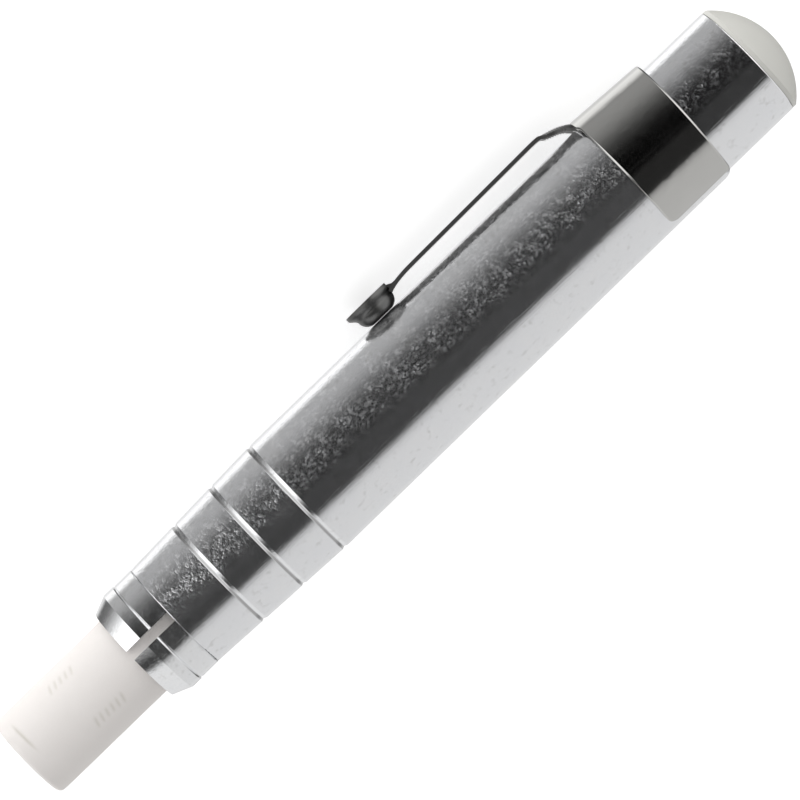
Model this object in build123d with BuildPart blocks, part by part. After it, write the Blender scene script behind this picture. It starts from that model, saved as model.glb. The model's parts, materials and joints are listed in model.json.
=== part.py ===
"""Push-button chalk holder, in millimetres.

A slotted collet grips a stick of chalk at the mouth of a thin aluminium barrel. The button at the other
end drives the collet out of the mouth against a spring, and the jaws open.

The holder lies on a table: X runs along the barrel towards the button, Z is up, and the pocket clip is
rolled down on the +Y side until its ball rests on the table. Stations are distances along the barrel
from its mouth, positive towards the button, and levels are heights above the barrel's axis on the
clip's side.
"""
from build123d import *
import os
from math import asin, atan2, cos, hypot, pi, sin

os.makedirs("parts", exist_ok=True)

# ---- chalk ----
chalk_radius = 4.75
chalk_length = 80.0
chalk_out = 20.1            # how far the chalk stands out of the mouth
chalk_bevel = 0.5

# ---- barrel ----
barrel_length = 69.4
barrel_radius = 6.83
barrel_bore = 6.50
mouth_radius = 6.17
mouth_bore = 5.93
lip_depth = 0.12            # how far the rounded lip runs back from the mouth
throat_length = 1.2         # straight hole before the nose opens out
nose_length = 17.0
rear_curl = 0.9             # length of the rolled rear edge
rear_land = 0.03
groove_stations = (6.07, 11.27, 16.65)
groove_half_width = 0.32
groove_depth = 0.16

# ---- collet jaws ----
jaw_count = 4
slot_width = 1.12
slot_turn = 88.2            # degrees from the clip to the first slot
grip_radius = chalk_radius + 0.05
grip_bevel = 0.25
grip_rear = 0.5
finger_bore = 5.00
finger_bore_front = 1.0
finger_radius = 5.37
root_station = 14.0
root_gap = 0.05
head_front = -5.53
head_shoulder = -0.08
head_radius = 6.24
head_rear_radius = 6.18
head_front_radius = 5.46
head_corner = -3.62
head_step = -2.30           # a fine V groove between the two turned diameters
head_step_half_width = 0.15
head_step_depth = 0.10
cone_radius = 5.81          # finger radius in the mouth, at rest
cone_length = 5.0

# ---- chalk tube and what is on it ----
tube_bore = 5.05
tube_radius = 5.45
tube_front = 15.0
tube_rear = 68.0
carrier_radius = 5.80
carrier_rear = 16.6
carrier_bevel = 0.4
carrier_lead = 0.3
washer_front = 44.0
washer_thickness = 0.8
washer_radius = 6.35
snap_ring_width = 0.6
snap_ring_radius = 5.95
snap_groove_depth = 0.15
snap_ring_gap = 1.6
bush_front = 57.0
bush_rear = 61.0

# ---- return spring ----
seat_front = nose_length
seat_rear = 18.2
seat_bore = 5.55
wire_radius = 0.30
coil_radius = 5.95
coil_turns = 9

# ---- button ----
sleeve_radius = 6.44
sleeve_bore = 6.10
sleeve_front = 55.5
sleeve_rear = 78.06
sleeve_edge_round = 0.12
plug_radius = 6.40
plug_collar = 0.44
plug_height = 3.44          # from the end of the sleeve to the top of the dome
plug_roof = 2.0
plug_stem = 2.86
plug_stem_bevel = 0.2
plug_recess_radius = 4.90
plug_recess_top_radius = 3.90

# ---- pocket clip ----
clip_thickness = 0.40
band_front = 61.4
band_rear = 69.9
band_rear_slant = 0.6       # how much shorter the band is opposite the arm
band_front_lift = 0.24      # the band stands off the barrel at the front of its top
band_open_angle = 54.8      # opening of the C, opposite the arm
band_front_corner = 1.1
band_rear_corner = 0.5
edge_round = 0.16           # rolled edges of the sheet
neck_split = 61.2           # where the bending neck parts band and arm
neck_gap = 0.05
neck_fillet = 2.2
neck_wall = 0.44            # upright thickness of the leaning neck
neck_front = 58.1
neck_front_level = 8.73
neck_sections = (           # station, level of the crown, radius across the crown
    (59.2, 8.63, 8.0),
    (60.0, 8.36, 7.6),
    (60.6, 8.07, 7.5),
)
arm_half_width = 2.0
arm_rear = 57.0             # the straight part of the arm, and its levels
arm_front = 41.0
arm_level = 8.80
arm_front_level = 8.58
arm_tip_half_width = 1.5
ball_entry = 37.2           # where the strip runs into the wall of the ball
ball_entry_level = 8.08
ball_station = 35.05
ball_floor = barrel_radius + 0.04
ball_corner = 1.15
ball_flat_radius = 1.10
ball_rim_radius = 2.88
ball_rim_level = 9.12
ball_rim_thickness = 0.36
ball_rim_lip = 0.45          # width of the rim's upper face
ball_rim_cut = 2.30         # the rim stops here on the arm's side
crease_half_width = 1.0     # raised crease that ties the arm to the rim
crease_levels = ((37.38, 8.86), (37.85, 8.62), (38.30, 8.60), (39.20, 8.66), (39.20, 8.45))
rib_count = 8               # fine marks pressed across the neck
rib_pitch = 0.30
rib_width = 0.12
rib_depth = 0.07
rib_lean = 25

# ---- how the holder lies ----
band_radius = barrel_radius + clip_thickness
front_band_radius = band_radius + band_front_lift
rim_reach = hypot(ball_rim_level - band_front_lift, ball_rim_radius)
rim_spread = atan2(ball_rim_radius, ball_rim_level - band_front_lift)
clip_roll = asin(front_band_radius / rim_reach) - rim_spread
axis_z = front_band_radius + band_front_lift * sin(clip_roll)
clip_side_reach = ball_rim_level * cos(clip_roll) + ball_rim_radius * sin(clip_roll)
plain_side_reach = front_band_radius - band_front_lift * cos(clip_roll)
axis_y = (plain_side_reach - clip_side_reach) / 2
mouth_x = (chalk_out - sleeve_rear - plug_height) / 2

mouth = (mouth_x, axis_y, axis_z)
barrel_axis = Axis(mouth, (1, 0, 0))
to_clip = Vector(0, cos(clip_roll), -sin(clip_roll))
to_side = Vector(0, sin(clip_roll), cos(clip_roll))
side_plane = Plane(origin=mouth, x_dir=(1, 0, 0), z_dir=to_side)


def across(station):
    """Plane square to the barrel: its x axis points at the clip."""
    return Plane(origin=Vector(*mouth) + Vector(station, 0, 0), x_dir=to_clip, z_dir=(1, 0, 0))


def from_above(level):
    """Plane square to the clip's direction: x along the barrel, y to the side."""
    origin = Vector(*mouth) + to_clip * level
    return Plane(origin=origin, x_dir=(1, 0, 0), z_dir=to_clip)


def nose_radius(station):
    """Outside radius of the nose, which grows evenly up to the plain barrel."""
    share = min(station / groove_stations[-1], 1.0)
    return mouth_radius + (barrel_radius - mouth_radius) * share


# ---- chalk_stick ----
with BuildPart() as chalk_stick:
    with BuildSketch(across(-chalk_out)):
        Circle(chalk_radius)
    extrude(amount=chalk_length)
    ends = chalk_stick.edges().filter_by(GeomType.CIRCLE)
    chamfer(ends, chalk_bevel)
chalk_stick.part.label = "chalk_stick"
export_step(chalk_stick.part, "parts/chalk_stick.step")

# ---- barrel ----
groove_points = []
for station in groove_stations:
    front, rear = station - groove_half_width, station + groove_half_width
    groove_points.append((front, nose_radius(front)))
    groove_points.append((station, nose_radius(station) - groove_depth))
    groove_points.append((rear, nose_radius(rear)))

with BuildPart() as barrel:
    with BuildSketch(side_plane):
        with BuildLine():
            lip = ThreePointArc(
                (lip_depth, mouth_bore),
                (0, (mouth_bore + mouth_radius) / 2),
                (lip_depth, mouth_radius),
            )
            outside = Polyline(lip @ 1, *groove_points, (barrel_length - rear_curl, barrel_radius))
            curl = TangentArc(outside @ 1, (barrel_length, barrel_bore + rear_land), tangent=(1, 0))
            Polyline(
                curl @ 1,
                (barrel_length, barrel_bore),
                (nose_length, barrel_bore),
                (throat_length, mouth_bore),
                lip @ 0,
            )
        make_face()
    revolve(axis=barrel_axis)
barrel.part.label = "barrel"
export_step(barrel.part, "parts/barrel.step")

# ---- jaw_1 to jaw_4: one turned collet head, cut into fingers ----
jaw_angle = 360 / jaw_count
jaw_length = root_station - root_gap - head_front
wedge_reach = 2 * head_radius
wedge_start = slot_width / 2 / sin(pi / jaw_count)
jaws = []
for index in range(jaw_count):
    middle = slot_turn + (index + 0.5) * jaw_angle
    with BuildPart() as jaw:
        with BuildSketch(side_plane):
            with BuildLine():
                Polyline(
                    (head_front, grip_radius + grip_bevel),
                    (head_front, head_front_radius),
                    (head_corner, head_radius),
                    (head_step - head_step_half_width, head_radius),
                    (head_step, head_rear_radius - head_step_depth),
                    (head_step + head_step_half_width, head_rear_radius),
                    (head_shoulder, head_rear_radius),
                    (head_shoulder, cone_radius),
                    (0, cone_radius),
                    (cone_length, finger_radius),
                    (head_front + jaw_length, finger_radius),
                    (head_front + jaw_length, finger_bore),
                    (finger_bore_front, finger_bore),
                    (grip_rear, grip_radius),
                    (head_front + grip_bevel, grip_radius),
                    close=True,
                )
            make_face()
        revolve(axis=barrel_axis)
        with BuildSketch(across(head_front)):
            with PolarLocations(0, 1, start_angle=middle):
                with Locations((wedge_start, 0)):
                    Polygon((0, 0), (wedge_reach, wedge_reach), (wedge_reach, -wedge_reach), align=None)
        extrude(amount=jaw_length, mode=Mode.INTERSECT)
    jaw.part.label = f"jaw_{index + 1}"
    export_step(jaw.part, f"parts/jaw_{index + 1}.step")
    jaws.append(jaw)

# ---- jaw_carrier ----
with BuildPart() as jaw_carrier:
    with BuildSketch(side_plane):
        with BuildLine():
            Polyline(
                (root_station, finger_bore),
                (root_station, finger_radius),
                (root_station + carrier_bevel, carrier_radius),
                (carrier_rear, carrier_radius),
                (carrier_rear, tube_radius),
                (tube_front, tube_radius),
                (tube_front, tube_bore),
                (root_station + carrier_lead, tube_bore),
                close=True,
            )
        make_face()
    revolve(axis=barrel_axis)
jaw_carrier.part.label = "jaw_carrier"
export_step(jaw_carrier.part, "parts/jaw_carrier.step")

# ---- chalk_tube ----
snap_front = washer_front + washer_thickness
snap_rear = snap_front + snap_ring_width
snap_floor = tube_radius - snap_groove_depth

with BuildPart() as chalk_tube:
    with BuildSketch(side_plane):
        with BuildLine():
            Polyline(
                (tube_front, tube_bore),
                (tube_front, tube_radius),
                (snap_front, tube_radius),
                (snap_front, snap_floor),
                (snap_rear, snap_floor),
                (snap_rear, tube_radius),
                (tube_rear, tube_radius),
                (tube_rear, tube_bore),
                close=True,
            )
        make_face()
    revolve(axis=barrel_axis)
chalk_tube.part.label = "chalk_tube"
export_step(chalk_tube.part, "parts/chalk_tube.step")

# ---- spring_washer ----
with BuildPart() as spring_washer:
    with BuildSketch(across(washer_front)):
        Circle(washer_radius)
        Circle(tube_radius, mode=Mode.SUBTRACT)
    extrude(amount=washer_thickness)
spring_washer.part.label = "spring_washer"
export_step(spring_washer.part, "parts/spring_washer.step")

# ---- snap_ring: a split ring in the groove of the tube ----
with BuildPart() as snap_ring:
    with BuildSketch(across(snap_front)):
        Circle(snap_ring_radius)
        Circle(snap_floor, mode=Mode.SUBTRACT)
        with Locations((-snap_ring_radius, 0)):
            Rectangle(snap_ring_radius, snap_ring_gap, mode=Mode.SUBTRACT)
    extrude(amount=snap_ring_width)
snap_ring.part.label = "snap_ring"
export_step(snap_ring.part, "parts/snap_ring.step")

# ---- rear_bush ----
with BuildPart() as rear_bush:
    with BuildSketch(across(bush_front)):
        Circle(sleeve_bore)
        Circle(tube_radius, mode=Mode.SUBTRACT)
    extrude(amount=bush_rear - bush_front)
rear_bush.part.label = "rear_bush"
export_step(rear_bush.part, "parts/rear_bush.step")

# ---- spring_seat: rests where the nose starts to narrow ----
with BuildPart() as spring_seat:
    with BuildSketch(across(seat_front)):
        Circle(barrel_bore)
        Circle(seat_bore, mode=Mode.SUBTRACT)
    extrude(amount=seat_rear - seat_front)
spring_seat.part.label = "spring_seat"
export_step(spring_seat.part, "parts/spring_seat.step")

# ---- return_spring: stands between the seat and the washer ----
coil_length = washer_front - seat_rear - 2 * wire_radius
coil_centre = Vector(*mouth) + Vector(seat_rear + wire_radius, 0, 0)

with BuildPart() as return_spring:
    with BuildLine() as coil:
        Helix(
            pitch=coil_length / coil_turns,
            height=coil_length,
            radius=coil_radius,
            center=coil_centre,
            direction=(1, 0, 0),
        )
    with BuildSketch(Plane(origin=coil.line @ 0, z_dir=coil.line % 0)):
        Circle(wire_radius)
    sweep(path=coil.line, is_frenet=True)
return_spring.part.label = "return_spring"
export_step(return_spring.part, "parts/return_spring.step")

# ---- button_sleeve ----
with BuildPart() as button_sleeve:
    with BuildSketch(across(sleeve_front)):
        Circle(sleeve_radius)
        Circle(sleeve_bore, mode=Mode.SUBTRACT)
    extrude(amount=sleeve_rear - sleeve_front)
    outer_ends = button_sleeve.edges().filter_by(GeomType.CIRCLE).sort_by(SortBy.RADIUS)[-2:]
    fillet(outer_ends, sleeve_edge_round)
button_sleeve.part.label = "button_sleeve"
export_step(button_sleeve.part, "parts/button_sleeve.step")

# ---- button_plug: a domed cap with a hollow stem pressed into the sleeve ----
dome_start = sleeve_rear + plug_collar
dome_top = sleeve_rear + plug_height
stem_end = sleeve_rear - plug_stem

with BuildPart() as button_plug:
    with BuildSketch(side_plane):
        with BuildLine():
            rim = Polyline(
                (dome_top - plug_roof, 0),
                (dome_top - plug_roof, plug_recess_top_radius),
                (dome_start, plug_recess_radius),
                (stem_end, plug_recess_radius),
                (stem_end, sleeve_bore - plug_stem_bevel),
                (stem_end + plug_stem_bevel, sleeve_bore),
                (sleeve_rear, sleeve_bore),
                (sleeve_rear, plug_radius),
                (dome_start, plug_radius),
            )
            dome = TangentArc((dome_top, 0), (dome_start, plug_radius), tangent=(0, 1))
            Line(dome @ 0, rim @ 0)
        make_face()
    revolve(axis=barrel_axis)
button_plug.part.label = "button_plug"
export_step(button_plug.part, "parts/button_plug.step")

# ---- clip_band: a C that stands a little off the barrel where the arm leaves it ----
flare_half_width = arm_half_width + neck_fillet
flare_start = band_front - neck_fillet
band_length = band_rear - band_front
clip_reach = 2 * band_radius        # further out than any part of the clip


def lift_at(station):
    """How far the middle of the band's circle is shifted towards the arm."""
    return band_front_lift * (band_rear - station) / band_length


with BuildPart() as band_outline:
    with BuildSketch(from_above(0)):
        with BuildLine():
            right = RadiusArc((flare_start, arm_half_width), (band_front, flare_half_width), -neck_fillet)
            left = RadiusArc((flare_start, -arm_half_width), (band_front, -flare_half_width), neck_fillet)
            Line(right @ 0, left @ 0)
            Polyline(
                right @ 1,
                (band_front, clip_reach),
                (band_rear, clip_reach),
                (band_rear, -clip_reach),
                (band_front, -clip_reach),
                left @ 1,
            )
        make_face()
    extrude(amount=clip_reach)
    with BuildSketch(side_plane):
        with Locations((band_front + band_length / 2, -clip_reach / 2)):
            Rectangle(band_length, clip_reach)
    extrude(amount=clip_reach, both=True)
    with BuildSketch(side_plane):
        Polygon(
            (band_rear, front_band_radius),
            (band_rear, -clip_reach),
            (band_rear - band_rear_slant, -front_band_radius),
            align=None,
        )
    extrude(amount=clip_reach, both=True, mode=Mode.SUBTRACT)

with BuildPart() as clip_band:
    for wall_radius, way in ((band_radius, Mode.ADD), (barrel_radius, Mode.SUBTRACT)):
        with BuildSketch(across(neck_split)):
            with Locations((lift_at(neck_split), 0)):
                Circle(wall_radius + lift_at(neck_split))
        with BuildSketch(across(band_rear)):
            Circle(wall_radius)
        loft(mode=way)
    with BuildSketch(across(neck_split)):
        reach = clip_reach * sin(pi / 360 * band_open_angle)
        drop = clip_reach * cos(pi / 360 * band_open_angle)
        Polygon((0, 0), (-drop, reach), (-drop, -reach), align=None)
    extrude(amount=band_rear - neck_split, mode=Mode.SUBTRACT)
    add(band_outline.part, mode=Mode.INTERSECT)
    towards_clip = Axis(mouth, to_clip)
    open_ends = clip_band.edges().filter_by(GeomType.LINE).sort_by(towards_clip)[:4]
    fillet(open_ends.sort_by(barrel_axis)[:2], band_front_corner)
    open_ends = clip_band.edges().filter_by(GeomType.LINE).sort_by(towards_clip)[:4]
    fillet(open_ends.sort_by(barrel_axis)[-2:], band_rear_corner)
    outer_halves = clip_band.faces().sort_by(SortBy.AREA)[-2:]
    outer_edges = outer_halves[0].edges() + outer_halves[1].edges()
    rims = [edge for edge in outer_edges if abs((edge @ 0 - edge @ 1).X) < band_length / 2]
    fillet(rims, edge_round)
clip_band.part.label = "clip_band"
export_step(clip_band.part, "parts/clip_band.step")

# ---- clip_arm: neck, straight arm and scooped ball, pressed from one strip ----
neck_rear = neck_split - neck_gap
root_radius = band_radius + lift_at(neck_rear)
root_crown = root_radius + lift_at(neck_rear)


def neck_half_width(station):
    """The neck flares out to the band along a quarter of a circle."""
    return flare_half_width - (neck_fillet**2 - (station - flare_start) ** 2) ** 0.5


# The neck is lofted twice: whole, and slimmer by the depth of the marks pressed into its faces.
necks = []
for inset in (0, rib_depth):
    with BuildPart() as neck:
        with BuildSketch(across(neck_front)):
            with Locations((neck_front_level, 0)):
                Rectangle(clip_thickness - 2 * inset, 2 * (arm_half_width - inset))
        for station, crown, crown_radius in neck_sections:
            with BuildSketch(across(station)):
                with Locations((crown - crown_radius, 0)):
                    Circle(crown_radius - inset)
                    Circle(crown_radius - neck_wall + inset, mode=Mode.SUBTRACT)
                with Locations((crown, 0)):
                    Rectangle(crown_radius, 2 * (neck_half_width(station) - inset), mode=Mode.INTERSECT)
        with BuildSketch(across(neck_rear)):
            with Locations((root_crown - root_radius, 0)):
                Circle(root_radius - inset)
                Circle(root_radius - clip_thickness + inset, mode=Mode.SUBTRACT)
            with Locations((root_crown, 0)):
                Rectangle(root_radius, 2 * (neck_half_width(neck_rear) - inset), mode=Mode.INTERSECT)
        loft()
    necks.append(neck)
whole_neck, slim_neck = necks

ball_axis = Axis(Vector(*mouth) + Vector(ball_station, 0, 0), to_clip)
ball_radius = ball_flat_radius + ball_corner
inner_corner_radius = ball_corner - clip_thickness
rim_underside = ball_rim_level - ball_rim_thickness
flare_slopes = [(0.25, 1), (0.50, 1)]

with BuildPart() as bowl:
    with BuildSketch(side_plane):
        with BuildLine():
            floor = Line((ball_station, ball_floor), (ball_station + ball_flat_radius, ball_floor))
            corner = RadiusArc(
                floor @ 1,
                (ball_station + ball_radius, ball_floor + ball_corner),
                -ball_corner,
            )
            flare = Spline(corner @ 1, (ball_station + ball_rim_radius, rim_underside), tangents=flare_slopes)
            rim = Polyline(
                flare @ 1,
                (ball_station + ball_rim_radius, ball_rim_level),
                (ball_station + ball_rim_radius - ball_rim_lip, ball_rim_level),
            )
            inner_flare = Spline(
                (ball_station + ball_radius - clip_thickness, ball_floor + ball_corner),
                rim @ 1,
                tangents=flare_slopes,
            )
            inner_corner = RadiusArc(
                inner_flare @ 0,
                (ball_station + ball_flat_radius, ball_floor + clip_thickness),
                inner_corner_radius,
            )
            Polyline(inner_corner @ 1, (ball_station, ball_floor + clip_thickness), floor @ 0)
        make_face()
    revolve(axis=ball_axis)
    with BuildSketch(side_plane):
        with Locations((ball_station + ball_rim_cut, ball_floor + ball_corner)):
            Rectangle(ball_rim_radius, ball_rim_radius, align=(Align.MIN, Align.MIN))
    extrude(amount=ball_rim_radius, both=True, mode=Mode.SUBTRACT)

with BuildPart() as clip_arm:
    with BuildSketch(side_plane):
        with BuildLine():
            rear_turn = [(-1, 0.22), (-1, 0.014)]
            front_turn = [(-1, -0.014), (-0.92, -0.4)]
            bend = Spline((neck_front, neck_front_level), (arm_rear, arm_level), tangents=rear_turn)
            straight = Line(bend @ 1, (arm_front, arm_front_level))
            Spline(straight @ 1, (ball_entry, ball_entry_level), tangents=front_turn)
        trace(line_width=clip_thickness)
    extrude(amount=arm_half_width, both=True)
    with BuildSketch(from_above(0)):
        Polygon(
            (neck_front, -arm_half_width),
            (neck_front, arm_half_width),
            (arm_front, arm_tip_half_width),
            (ball_entry - arm_tip_half_width / 2, arm_tip_half_width),
            (ball_entry - arm_tip_half_width / 2, -arm_tip_half_width),
            (arm_front, -arm_tip_half_width),
            align=None,
        )
    extrude(amount=clip_reach, mode=Mode.INTERSECT)
    add(whole_neck.part)
    for index in range(rib_count):
        station = neck_rear - (index + 1) * rib_pitch
        with BuildSketch(side_plane):
            with Locations((station, neck_front_level - clip_thickness)):
                Rectangle(rib_width, ball_rim_radius, rotation=-rib_lean)
        extrude(amount=clip_reach, both=True, mode=Mode.SUBTRACT)
    add(slim_neck.part)
    with BuildSketch(side_plane):
        Polygon(
            (ball_station + ball_radius - clip_thickness / 2, ball_entry_level),
            (ball_station + ball_radius - clip_thickness / 2, ball_rim_level),
            *crease_levels,
            align=None,
        )
    extrude(amount=crease_half_width, both=True)
    add(bowl.part)
clip_arm.part.label = "clip_arm"
export_step(clip_arm.part, "parts/clip_arm.step")
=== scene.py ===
"""Push-button chalk holder: finishes, chalk, spring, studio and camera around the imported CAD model."""

import json
from math import atan2, cos, degrees, exp, pi, radians, sin

import bmesh
import bpy
from mathutils import Matrix, Vector, noise


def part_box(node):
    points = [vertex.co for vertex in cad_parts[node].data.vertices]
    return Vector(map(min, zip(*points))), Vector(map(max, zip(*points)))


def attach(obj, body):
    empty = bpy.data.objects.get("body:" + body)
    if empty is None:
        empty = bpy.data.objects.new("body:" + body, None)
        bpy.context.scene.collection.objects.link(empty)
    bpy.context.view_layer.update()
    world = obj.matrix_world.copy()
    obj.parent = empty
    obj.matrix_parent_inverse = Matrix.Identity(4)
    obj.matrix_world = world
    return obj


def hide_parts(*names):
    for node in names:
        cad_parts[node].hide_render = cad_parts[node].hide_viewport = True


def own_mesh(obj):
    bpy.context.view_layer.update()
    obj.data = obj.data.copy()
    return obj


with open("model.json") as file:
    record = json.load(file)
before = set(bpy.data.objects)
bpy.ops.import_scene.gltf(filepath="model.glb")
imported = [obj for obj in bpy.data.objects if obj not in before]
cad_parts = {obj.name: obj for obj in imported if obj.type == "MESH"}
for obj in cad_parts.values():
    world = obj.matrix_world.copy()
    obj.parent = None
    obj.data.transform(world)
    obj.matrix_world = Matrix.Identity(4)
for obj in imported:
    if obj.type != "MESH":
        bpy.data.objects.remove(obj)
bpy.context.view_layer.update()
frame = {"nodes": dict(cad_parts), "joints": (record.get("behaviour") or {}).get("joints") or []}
nodes = frame["nodes"]
joints = {joint["name"]: joint for joint in frame["joints"]}

MM = 0.001

# ---- where the holder lies: its axis, and the way its clip points ----
barrel_low, barrel_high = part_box("barrel")
mouth = Vector((barrel_low.x, (barrel_low.y + barrel_high.y) / 2, (barrel_low.z + barrel_high.z) / 2))
along = Vector((1, 0, 0))                               # from the chalk towards the button
to_side = -Vector(joints["clip_flex"]["axis"])          # upwards, square to the plane of the clip
to_clip = to_side.cross(along)


def place(station, radius, turn):
    """A point by its station along the barrel and radius in mm, and its turn in degrees from the clip."""
    outwards = to_clip * cos(radians(turn)) + to_side * sin(radians(turn))
    return mouth + (along * station + outwards * radius) * MM


# ---- node helpers ----
def add(tree, kind, **settings):
    node = tree.nodes.new(kind)
    for name, value in settings.items():
        setattr(node, name, value)
    return node


def link(tree, source, target):
    tree.links.new(source, target)


def maths(tree, operation, a, b=None):
    node = add(tree, "ShaderNodeMath", operation=operation)
    for socket, value in zip(node.inputs, (a, b)):
        if isinstance(value, (int, float)):
            socket.default_value = value
        elif value is not None:
            link(tree, value, socket)
    return node.outputs[0]


def ramp(tree, value, stops):
    """Colour ramp through (position, grey or colour) stops."""
    node = add(tree, "ShaderNodeValToRGB")
    elements = node.color_ramp.elements
    while len(elements) < len(stops):
        elements.new(0.5)
    for element, (position, colour) in zip(elements, stops):
        element.position = position
        if isinstance(colour, (int, float)):
            colour = (colour, colour, colour)
        element.color = (*colour, 1)
    link(tree, value, node.inputs["Fac"])
    return node.outputs["Color"]


def mix(tree, factor, a, b, blend="MIX"):
    node = add(tree, "ShaderNodeMix", data_type="RGBA", blend_type=blend)
    for socket, value in zip((node.inputs[0], node.inputs[6], node.inputs[7]), (factor, a, b)):
        if isinstance(value, (int, float)):
            socket.default_value = value
        elif isinstance(value, tuple):
            socket.default_value = (*value, 1)
        else:
            link(tree, value, socket)
    return node.outputs[2]


def grain(tree, coords, size, detail=2.0, stretch=1.0):
    """Noise whose cells are about size across, drawn out along the barrel by stretch."""
    mapping = add(tree, "ShaderNodeMapping")
    mapping.inputs["Scale"].default_value = (1 / stretch, 1, 1)
    link(tree, coords, mapping.inputs["Vector"])
    texture = add(tree, "ShaderNodeTexNoise")
    texture.inputs["Scale"].default_value = 1 / size
    texture.inputs["Detail"].default_value = detail
    link(tree, mapping.outputs["Vector"], texture.inputs["Vector"])
    return texture.outputs["Fac"]


def bump(tree, shader, height, depth=1.0):
    """Relief of height times depth, in metres."""
    node = add(tree, "ShaderNodeBump")
    node.inputs["Strength"].default_value = 1.0
    node.inputs["Distance"].default_value = depth
    link(tree, height, node.inputs["Height"])
    link(tree, node.outputs["Normal"], shader.inputs["Normal"])


def new_material(name):
    material = bpy.data.materials.new(name)
    material.use_nodes = True
    tree = material.node_tree
    coords = add(tree, "ShaderNodeTexCoord").outputs["Object"]
    return material, tree, tree.nodes["Principled BSDF"], coords


# ---- bare metal: sizes are in mm, and levels are (noise, strength) stops ----
cloud_size, cloud_levels = 1.0, [(0.40, 0.25), (0.62, 1.0)]
pit_size, pit_levels = 0.32, [(0.43, 0.0), (0.63, 1.0)]
scratch_size, scratch_stretch, scratch_levels = 0.12, 30.0, [(0.54, 0.0), (0.68, 1.0)]
smudge_size, smudge_levels, smudge_shade = 0.8, [(0.58, 0.0), (0.76, 1.0)], 0.86
dent_size, tint_size = 2.4, 2.2
cool_shade = (0.955, 0.965, 0.985)                      # the colder patches of the tint
pit_roughness = 0.07
clip_half_levels = [(0.46, 0.12), (0.57, 1.0)]          # by share of the width, rising towards the clip
groove_stations = (6.07, 11.27, 16.65)                  # the middles of the rolled grooves, from the mouth
groove_edges = ((-0.34, 0.0), (-0.26, 1.0), (-0.06, 1.0), (0.02, 0.0))
# painted shade: the grey put into the front half of each rolled groove, in place of its shadow
groove_painted_shade = (0.42, 0.42, 0.42)
grooved_length = 20.0


def shaded(colour, shade):
    return tuple(channel * shade for channel in colour)


def clip_half(tree, coords, node):
    """1 on the half of a round node that lies towards the clip, and little on the other half."""
    low, high = Vector(node.bound_box[0]), Vector(node.bound_box[6])
    offset = add(tree, "ShaderNodeVectorMath", operation="SUBTRACT")
    link(tree, coords, offset.inputs[0])
    offset.inputs[1].default_value = (low + high) / 2
    reach = add(tree, "ShaderNodeVectorMath", operation="DOT_PRODUCT")
    link(tree, offset.outputs["Vector"], reach.inputs[0])
    reach.inputs[1].default_value = to_clip / (high.y - low.y)
    return ramp(tree, maths(tree, "ADD", reach.outputs["Value"], 0.5), clip_half_levels)


def mottled_metal(name, colour, rough, haze, fleck_haze, pit_depth, dent_depth, scratch_depth, node=None):
    """Bare metal: a thin dull haze, flecks, fine pits, shallow dents and drawn scratches."""
    material, tree, shader, coords = new_material(name)
    cloud = ramp(tree, grain(tree, coords, cloud_size * MM, 3.0), cloud_levels)
    pits = ramp(tree, grain(tree, coords, pit_size * MM, 2.0), pit_levels)
    clouded_pits = maths(tree, "MULTIPLY", pits, cloud)
    if node:
        clouded_pits = maths(tree, "MULTIPLY", clouded_pits, clip_half(tree, coords, node))
    dents = grain(tree, coords, dent_size * MM, 1.0)
    lines = ramp(tree, grain(tree, coords, scratch_size * MM, 2.0, scratch_stretch), scratch_levels)
    height = maths(tree, "MULTIPLY", clouded_pits, pit_depth)
    height = maths(tree, "ADD", height, maths(tree, "MULTIPLY", dents, dent_depth))
    height = maths(tree, "ADD", height, maths(tree, "MULTIPLY", lines, scratch_depth))
    bump(tree, shader, height)
    cool = tuple(channel * shade for channel, shade in zip(colour, cool_shade))
    tint = mix(tree, grain(tree, coords, tint_size * MM, 3.0), cool, colour)
    smudges = ramp(tree, grain(tree, coords, smudge_size * MM, 2.0), smudge_levels)
    link(tree, mix(tree, smudges, tint, shaded(colour, smudge_shade)), shader.inputs["Base Color"])
    dull = maths(tree, "ADD", maths(tree, "MULTIPLY", clouded_pits, fleck_haze), haze)
    link(tree, maths(tree, "SUBTRACT", 1.0, dull), shader.inputs["Metallic"])
    roughness = maths(tree, "ADD", maths(tree, "MULTIPLY", clouded_pits, pit_roughness), rough)
    link(tree, roughness, shader.inputs["Roughness"])
    return material


def paint_groove_shade(material):
    """Painted shade: a darker grey in the front half of each rolled groove of the barrel."""
    tree = material.node_tree
    shader = tree.nodes["Principled BSDF"]
    split = add(tree, "ShaderNodeSeparateXYZ")
    link(tree, add(tree, "ShaderNodeTexCoord").outputs["Object"], split.inputs["Vector"])
    station = maths(tree, "SUBTRACT", split.outputs["X"], nodes["barrel"].bound_box[0][0])
    share = maths(tree, "MULTIPLY", station, 1 / (grooved_length * MM))
    stops = [
        ((middle + edge) / grooved_length, strength)
        for middle in groove_stations
        for edge, strength in groove_edges
    ]
    bare = shader.inputs["Base Color"].links[0].from_socket
    link(tree, mix(tree, ramp(tree, share, stops), bare, groove_painted_shade), shader.inputs["Base Color"])


# ---- the other finishes ----


def plated(name, colour, rough, dents):
    """Smooth plating with the faint waves of pressed sheet."""
    material, tree, shader, coords = new_material(name)
    shader.inputs["Metallic"].default_value = 1.0
    cloud = grain(tree, coords, 2.5 * MM, 2.0)
    link(tree, mix(tree, cloud, shaded(colour, 0.94), colour), shader.inputs["Base Color"])
    rub = grain(tree, coords, 0.15 * MM, 2.0, 12.0)
    link(tree, maths(tree, "ADD", maths(tree, "MULTIPLY", rub, 0.06), rough), shader.inputs["Roughness"])
    bump(tree, shader, cloud, dents)
    return material


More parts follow.
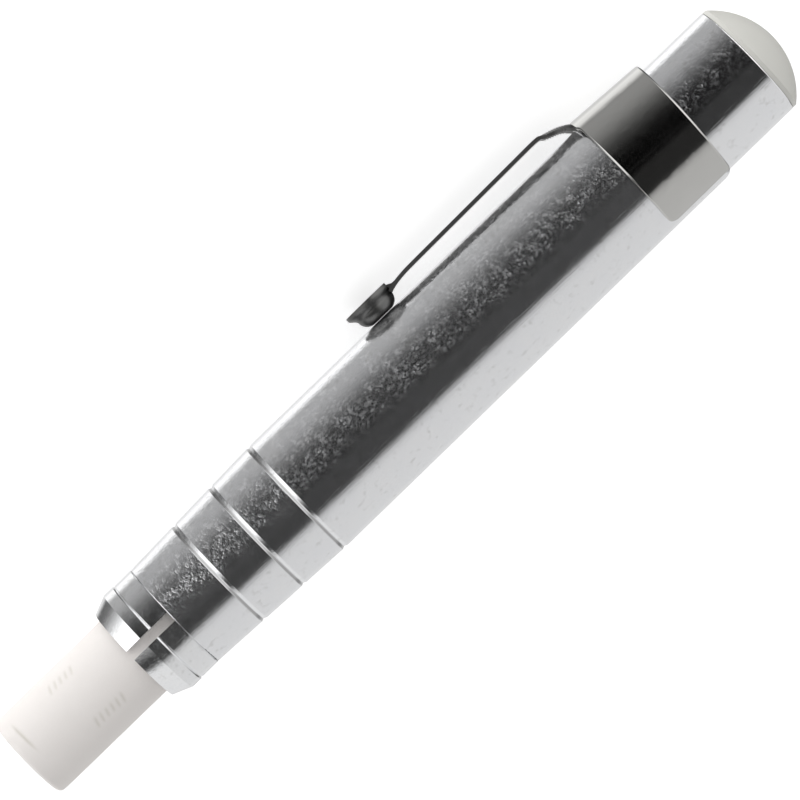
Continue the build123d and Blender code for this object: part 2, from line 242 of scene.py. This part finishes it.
def moulded_plastic(name, colour):
    """Satin plastic with faint clouds and fine pores."""
    material, tree, shader, coords = new_material(name)
    cloud = grain(tree, coords, 3.0 * MM, 3.0)
    link(tree, mix(tree, cloud, shaded(colour, 0.95), colour), shader.inputs["Base Color"])
    pores = grain(tree, coords, 0.35 * MM, 3.0)
    link(tree, ramp(tree, pores, [(0.3, 0.34), (0.7, 0.44)]), shader.inputs["Roughness"])
    bump(tree, shader, pores, 0.006 * MM)
    return material


# painted shade: the second colour is the darker warm grey put into the pressed dashes and the crease
chalk_dust, chalk_dent_shade = (0.80, 0.76, 0.73), (0.68, 0.65, 0.60)


def pressed_chalk(name, colour):
    """Dry powder: no gloss, fine pores, a faint patchy tint, and painted shade, a darker warm grey, in the
    pressed marks and the crease.
    """
    material, tree, shader, coords = new_material(name)
    shader.inputs["Specular IOR Level"].default_value = 0.1
    cloud = grain(tree, coords, 2.0 * MM, 3.0)
    powder = grain(tree, coords, 0.25 * MM, 4.0)
    tint = mix(tree, cloud, shaded(colour, 0.97), colour)
    tint = mix(tree, maths(tree, "MULTIPLY", powder, 0.12), tint, chalk_dust)
    # painted shade: darker by how deep a point lies in a dash or the crease
    dent_shade = add(tree, "ShaderNodeAttribute", attribute_name="dent_shade").outputs["Fac"]
    link(tree, mix(tree, dent_shade, tint, chalk_dent_shade), shader.inputs["Base Color"])
    link(tree, ramp(tree, powder, [(0.3, 0.85), (0.7, 1.0)]), shader.inputs["Roughness"])
    bump(tree, shader, powder, 0.02 * MM)
    return material


# ---- the finish of each piece ----
barrel_finish = mottled_metal(
    "mottled_aluminium", (0.92, 0.92, 0.925), rough=0.15, haze=0.022, fleck_haze=0.135,
    pit_depth=0.008 * MM, dent_depth=0.004 * MM, scratch_depth=0.002 * MM, node=nodes["barrel"],
)
# painted shade in the barrel's rolled grooves
paint_groove_shade(barrel_finish)
button_finish = mottled_metal(
    "drawn_aluminium", (0.94, 0.94, 0.945), rough=0.10, haze=0.009, fleck_haze=0.080,
    pit_depth=0.006 * MM, dent_depth=0.002 * MM, scratch_depth=0.002 * MM, node=nodes["button_sleeve"],
)
jaw_finish = mottled_metal(
    "jaw_plating", (0.93, 0.93, 0.93), rough=0.10, haze=0.036, fleck_haze=0.030,
    pit_depth=0.003 * MM, dent_depth=0.004 * MM, scratch_depth=0.002 * MM,
)
clip_finish = plated("clip_nickel", (0.62, 0.615, 0.595), rough=0.05, dents=0.010 * MM)
# painted shade: the arm and its ball are the band's nickel, given a near-black colour in place of the shade
# and dark reflections on them
arm_painted_shade = plated("clip_arm_nickel_painted_shade", (0.14, 0.14, 0.137), rough=0.34, dents=0.006 * MM)
inner_finish = plated("inner_steel", (0.55, 0.55, 0.55), rough=0.25, dents=0.010 * MM)
wire_finish = plated("spring_wire", (0.45, 0.45, 0.46), rough=0.20, dents=0.004 * MM)
plastic_finish = moulded_plastic("white_plastic", (0.65, 0.645, 0.605))
chalk_finish = pressed_chalk("pressed_chalk", (0.86, 0.825, 0.80))

finishes = {
    "barrel": barrel_finish,
    "button_sleeve": button_finish,
    "clip_band": clip_finish,
    "clip_arm": arm_painted_shade,
    "button_plug": plastic_finish,
    "chalk_stick": chalk_finish,
    "return_spring": wire_finish,
}
for name, node in nodes.items():
    finish = finishes.get(name, jaw_finish if name.startswith("jaw") else inner_finish)
    node.data.materials.clear()
    node.data.materials.append(finish)


# ---- meshes made of rings ----
def ring_mesh(name, rings, finish):
    """A closed tube through rings of points, which may start and end in a single point."""
    mesh = bmesh.new()
    loops = [[mesh.verts.new(point) for point in ring] for ring in rings]
    for before, after in zip(loops, loops[1:]):
        count = max(len(before), len(after))
        for i in range(count):
            j = (i + 1) % count
            corners = [before[i % len(before)], before[j % len(before)]]
            corners += [after[j % len(after)], after[i % len(after)]]
            mesh.faces.new(list(dict.fromkeys(corners)))
    bmesh.ops.recalc_face_normals(mesh, faces=mesh.faces)
    data = bpy.data.meshes.new(name)
    mesh.to_mesh(data)
    mesh.free()
    data.shade_smooth()
    data.materials.append(finish)
    piece = bpy.data.objects.new(name, data)
    bpy.context.scene.collection.objects.link(piece)
    return piece


# ---- the stick of chalk: a worn tip, a crease behind it and two rows of worn pressed dashes ----
chalk_low, chalk_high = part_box("chalk_stick")
chalk_front = (chalk_low.x - mouth.x) / MM
chalk_rear = (chalk_high.x - mouth.x) / MM
chalk_radius = (chalk_high.z - chalk_low.z) / 2 / MM
chalk_bevel = 0.5
chalk_sides = 208
fine_step = 0.11
fine_end = 1.0
rows = ((-13.6, 47, 5), (-12.4, 118, 6))                # first station, turn from the clip, dashes
dash_pitch, dash_depth, dash_half_width, dash_half_length = 0.70, 0.05, 0.15, 0.60
dash_lean = -0.25
crease_station, crease_turn, crease_half_turn, crease_depth = -18.55, 68, 21, 0.07
tip_wear, tip_wear_reach, skin_wear, wear_grain = 0.10, 1.2, 0.015, 0.9


def dent(station, turn):
    """Depth of the dashes and the crease at a point of the chalk."""
    depth = 0.0
    for first, row_turn, count in rows:
        around = radians(turn - row_turn) * chalk_radius
        for i in range(count):
            offset = station - first - i * dash_pitch - dash_lean * around
            reach = dash_half_length * (0.9 + 0.1 * cos(5 * i))
            depth += dash_depth * exp(-(offset / dash_half_width) ** 2) * exp(-(around / reach) ** 4)
    share = (turn - crease_turn) / crease_half_turn
    wander = 0.10 * share
    offset = (station - crease_station - wander) / dash_half_width
    return depth + crease_depth * exp(-(offset**2)) * exp(-(share**4))


def chalk_ring(station, radius):
    ring = []
    for i in range(chalk_sides):
        turn = 360 * i / chalk_sides
        spot = place(station, radius, turn) / MM
        rough = 0.5 + 0.5 * noise.noise(spot * wear_grain)
        wear = tip_wear * rough * exp(-((station - chalk_front) / tip_wear_reach) ** 2) + skin_wear * rough
        ring.append(place(station, radius - wear - dent(station, turn), turn))
    return ring


fine_count = round((fine_end - chalk_front - chalk_bevel) / fine_step)
fine_stations = [chalk_front + chalk_bevel + i * fine_step for i in range(fine_count + 1)]
face_radii = [chalk_radius * share for share in (0.25, 0.5, 0.75)]
bevel_turns = [radians(10 * i) for i in range(1, 9)]
chalk_rings = [[place(chalk_front, 0, 0)]]
chalk_rings += [chalk_ring(chalk_front, radius) for radius in face_radii + [chalk_radius - chalk_bevel]]
chalk_rings += [
    chalk_ring(chalk_front + chalk_bevel * (1 - cos(t)), chalk_radius - chalk_bevel * (1 - sin(t)))
    for t in bevel_turns
]
chalk_rings += [chalk_ring(station, chalk_radius) for station in fine_stations]
chalk_rings += [chalk_ring(chalk_rear - chalk_bevel, chalk_radius)]
chalk_rings += [chalk_ring(chalk_rear, chalk_radius - chalk_bevel), [place(chalk_rear, 0, 0)]]
chalk = ring_mesh("worn_chalk", chalk_rings, chalk_finish)
# painted shade mask: the depth of the dashes and the crease, by which the chalk's colour is darkened
dent_shade = chalk.data.attributes.new("dent_shade", "FLOAT", "POINT")
for vertex, mark in zip(chalk.data.vertices, dent_shade.data):
    offset = (vertex.co - mouth) / MM
    turn = degrees(atan2(offset.dot(to_side), offset.dot(to_clip)))
    mark.value = min(1.0, dent(offset.x, turn) / crease_depth)
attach(chalk, "chalk")
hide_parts("chalk_stick")

# ---- the return spring: closed end turns ----
spring_low, spring_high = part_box("return_spring")
wire_radius = 0.30
spring_front = (spring_low.x - mouth.x) / MM
spring_length = (spring_high.x - spring_low.x) / MM
coil_radius = (spring_high.z - spring_low.z) / 2 / MM - wire_radius
open_turns, closed_turns = 8, 1
turn_steps, wire_sides = 48, 12


def spring_station(turns):
    """Distance along the barrel of the wire's middle: the end turns lie close, the others open evenly."""
    closed_rise = 2.1 * wire_radius * closed_turns
    open_rise = (spring_length - 2 * wire_radius - 2 * closed_rise) / open_turns
    rise = min(turns, closed_turns) * closed_rise / closed_turns
    rise += min(max(turns - closed_turns, 0), open_turns) * open_rise
    rise += max(turns - closed_turns - open_turns, 0) * closed_rise / closed_turns
    return spring_front + wire_radius + rise


def wire_ring(turns):
    ring = []
    for side in range(wire_sides):
        angle = 2 * pi * side / wire_sides
        station = spring_station(turns) + wire_radius * sin(angle)
        ring.append(place(station, coil_radius + wire_radius * cos(angle), 360 * turns))
    return ring


total_turns = open_turns + 2 * closed_turns
wire_rings = [wire_ring(i / turn_steps) for i in range(total_turns * turn_steps + 1)]
wire_ends = [[place(spring_station(turns), coil_radius, 360 * turns)] for turns in (0, total_turns)]
spring = ring_mesh("return_coil", [wire_ends[0], *wire_rings, wire_ends[1]], wire_finish)
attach(spring, "holder")
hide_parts("return_spring")
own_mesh(spring)

# ---- camera: square to the clip's plane, with the holder seen in profile ----
axis_slope = radians(44.09)
frame_width = 78.35 * MM
seen_station = 33.3 * MM                                # the point of the axis nearest the picture's middle
seen_right, seen_up = 1.87 * MM, 2.07 * MM              # and how far it stands from that middle
right = along * cos(axis_slope) - to_clip * sin(axis_slope)
up = along * sin(axis_slope) + to_clip * cos(axis_slope)
camera_data = bpy.data.cameras.new("camera")
camera_data.lens = 250
camera_data.sensor_width = 36
camera_data.clip_start, camera_data.clip_end = 0.01, 20
distance = frame_width * camera_data.lens / camera_data.sensor_width
aim = mouth + along * seen_station - right * seen_right - up * seen_up
camera = bpy.data.objects.new("camera", camera_data)
bpy.context.scene.collection.objects.link(camera)
turned = Matrix((right, up, to_side)).transposed().to_4x4()
camera.matrix_world = Matrix.Translation(aim + to_side * distance) @ turned
bpy.context.scene.camera = camera
bpy.context.scene.view_settings.view_transform = "Standard"

# ---- floor: plain and pale, and left out of the metal's reflections ----
span = 3.0
corners = [(-span, -span, 0), (span, -span, 0), (span, span, 0), (-span, span, 0)]
floor_mesh = bpy.data.meshes.new("floor")
floor_mesh.from_pydata(corners, [], [(0, 1, 2, 3)])
floor = bpy.data.objects.new("floor", floor_mesh)
bpy.context.scene.collection.objects.link(floor)
floor_finish = bpy.data.materials.new("floor")
floor_finish.use_nodes = True
floor_shader = floor_finish.node_tree.nodes["Principled BSDF"]
floor_shader.inputs["Base Color"].default_value = (0.9, 0.9, 0.9, 1)
floor_shader.inputs["Roughness"].default_value = 1.0
floor_shader.inputs["Specular IOR Level"].default_value = 0.0
floor_shader.inputs["Emission Color"].default_value = (1, 1, 1, 1)
floor_shader.inputs["Emission Strength"].default_value = 0.60
floor_mesh.materials.append(floor_finish)
floor.visible_glossy = False

# ---- studio: a soft sky, and the cards that the metal mirrors, by direction round the barrel ----
# sky_levels: (share, light) from opposite the clip to the clip's side; the others: (degrees, light),
# turned from the side that is seen towards the clip, as the metal's sides, front and rear mirror them
sky_levels = [(0.0, 1.40), (0.10, 0.22), (0.20, 0.22), (0.42, 1.90), (1.0, 1.42)]
sky_shade = [(-180, 1.0), (-30, 1.0), (-20, 0.35), (20, 0.35), (30, 1.0), (180, 1.0)]
side_cards = [
    (-180, 0.80), (-144, 0.70), (-100, 0.68), (-64, 0.66), (-56, 0.60), (-50, 0.42), (-47, 0.24),
    (-45, 0.05), (-40, 0.028), (-12, 0.024), (-3, 0.001), (0, 0.010), (3, 0.001), (22, 0.001),
    (35, 0.016), (47, 0.064), (60, 0.150), (74, 0.28), (89, 0.37), (106, 0.40), (116, 0.38),
    (121, 0.65), (128, 1.10), (140, 1.25), (152, 0.85), (180, 0.80),
]
front_cards = [
    (-180, 0.78), (-66, 0.78), (-59, 0.62), (-52, 0.12), (-45, 0.02), (-30, 0.03), (-17, 0.20), (0, 1.00),
    (20, 1.40), (60, 1.40), (73, 1.03), (88, 0.60), (102, 0.33), (118, 0.14), (138, 0.10), (148, 0.38),
    (157, 0.79), (180, 0.80),
]
rear_cards = [
    (-180, 0.05), (-150, 0.05), (-125, 0.75), (-50, 0.80), (-45, 0.60), (-36, 1.20), (0, 1.40), (60, 1.40),
    (90, 0.50), (125, 0.20), (140, 0.05), (180, 0.05),
]
world = bpy.data.worlds.new("studio")
bpy.context.scene.world = world
world.use_nodes = True
sky_tree = world.node_tree
direction = add(sky_tree, "ShaderNodeTexCoord").outputs["Generated"]


def component(axis):
    node = add(sky_tree, "ShaderNodeVectorMath", operation="DOT_PRODUCT")
    link(sky_tree, direction, node.inputs[0])
    node.inputs[1].default_value = axis
    return node.outputs["Value"]


def cards(stops):
    """Light by direction round the barrel, in degrees from the side towards the clip."""
    turn = maths(sky_tree, "ARCTAN2", component(to_clip), component(to_side))
    share = maths(sky_tree, "ADD", maths(sky_tree, "MULTIPLY", turn, 0.5 / pi), 0.5)
    return ramp(sky_tree, share, [(0.5 + angle / 360, light) for angle, light in stops])


def end_share(axis):
    """Rises from 0 to 1 as a direction leans towards an end of the barrel."""
    return ramp(sky_tree, component(axis), [(0.18, 0.0), (0.30, 1.0)])


mirrored = mix(sky_tree, end_share(-along), cards(side_cards), cards(front_cards))
mirrored = mix(sky_tree, end_share(along), mirrored, cards(rear_cards))
clipwards = maths(sky_tree, "ADD", maths(sky_tree, "MULTIPLY", component(to_clip), 0.5), 0.5)
sky = mix(sky_tree, 1.0, ramp(sky_tree, clipwards, sky_levels), cards(sky_shade), "MULTIPLY")
glossy = add(sky_tree, "ShaderNodeLightPath").outputs["Is Glossy Ray"]
link(sky_tree, mix(sky_tree, glossy, sky, mirrored), sky_tree.nodes["Background"].inputs["Color"])
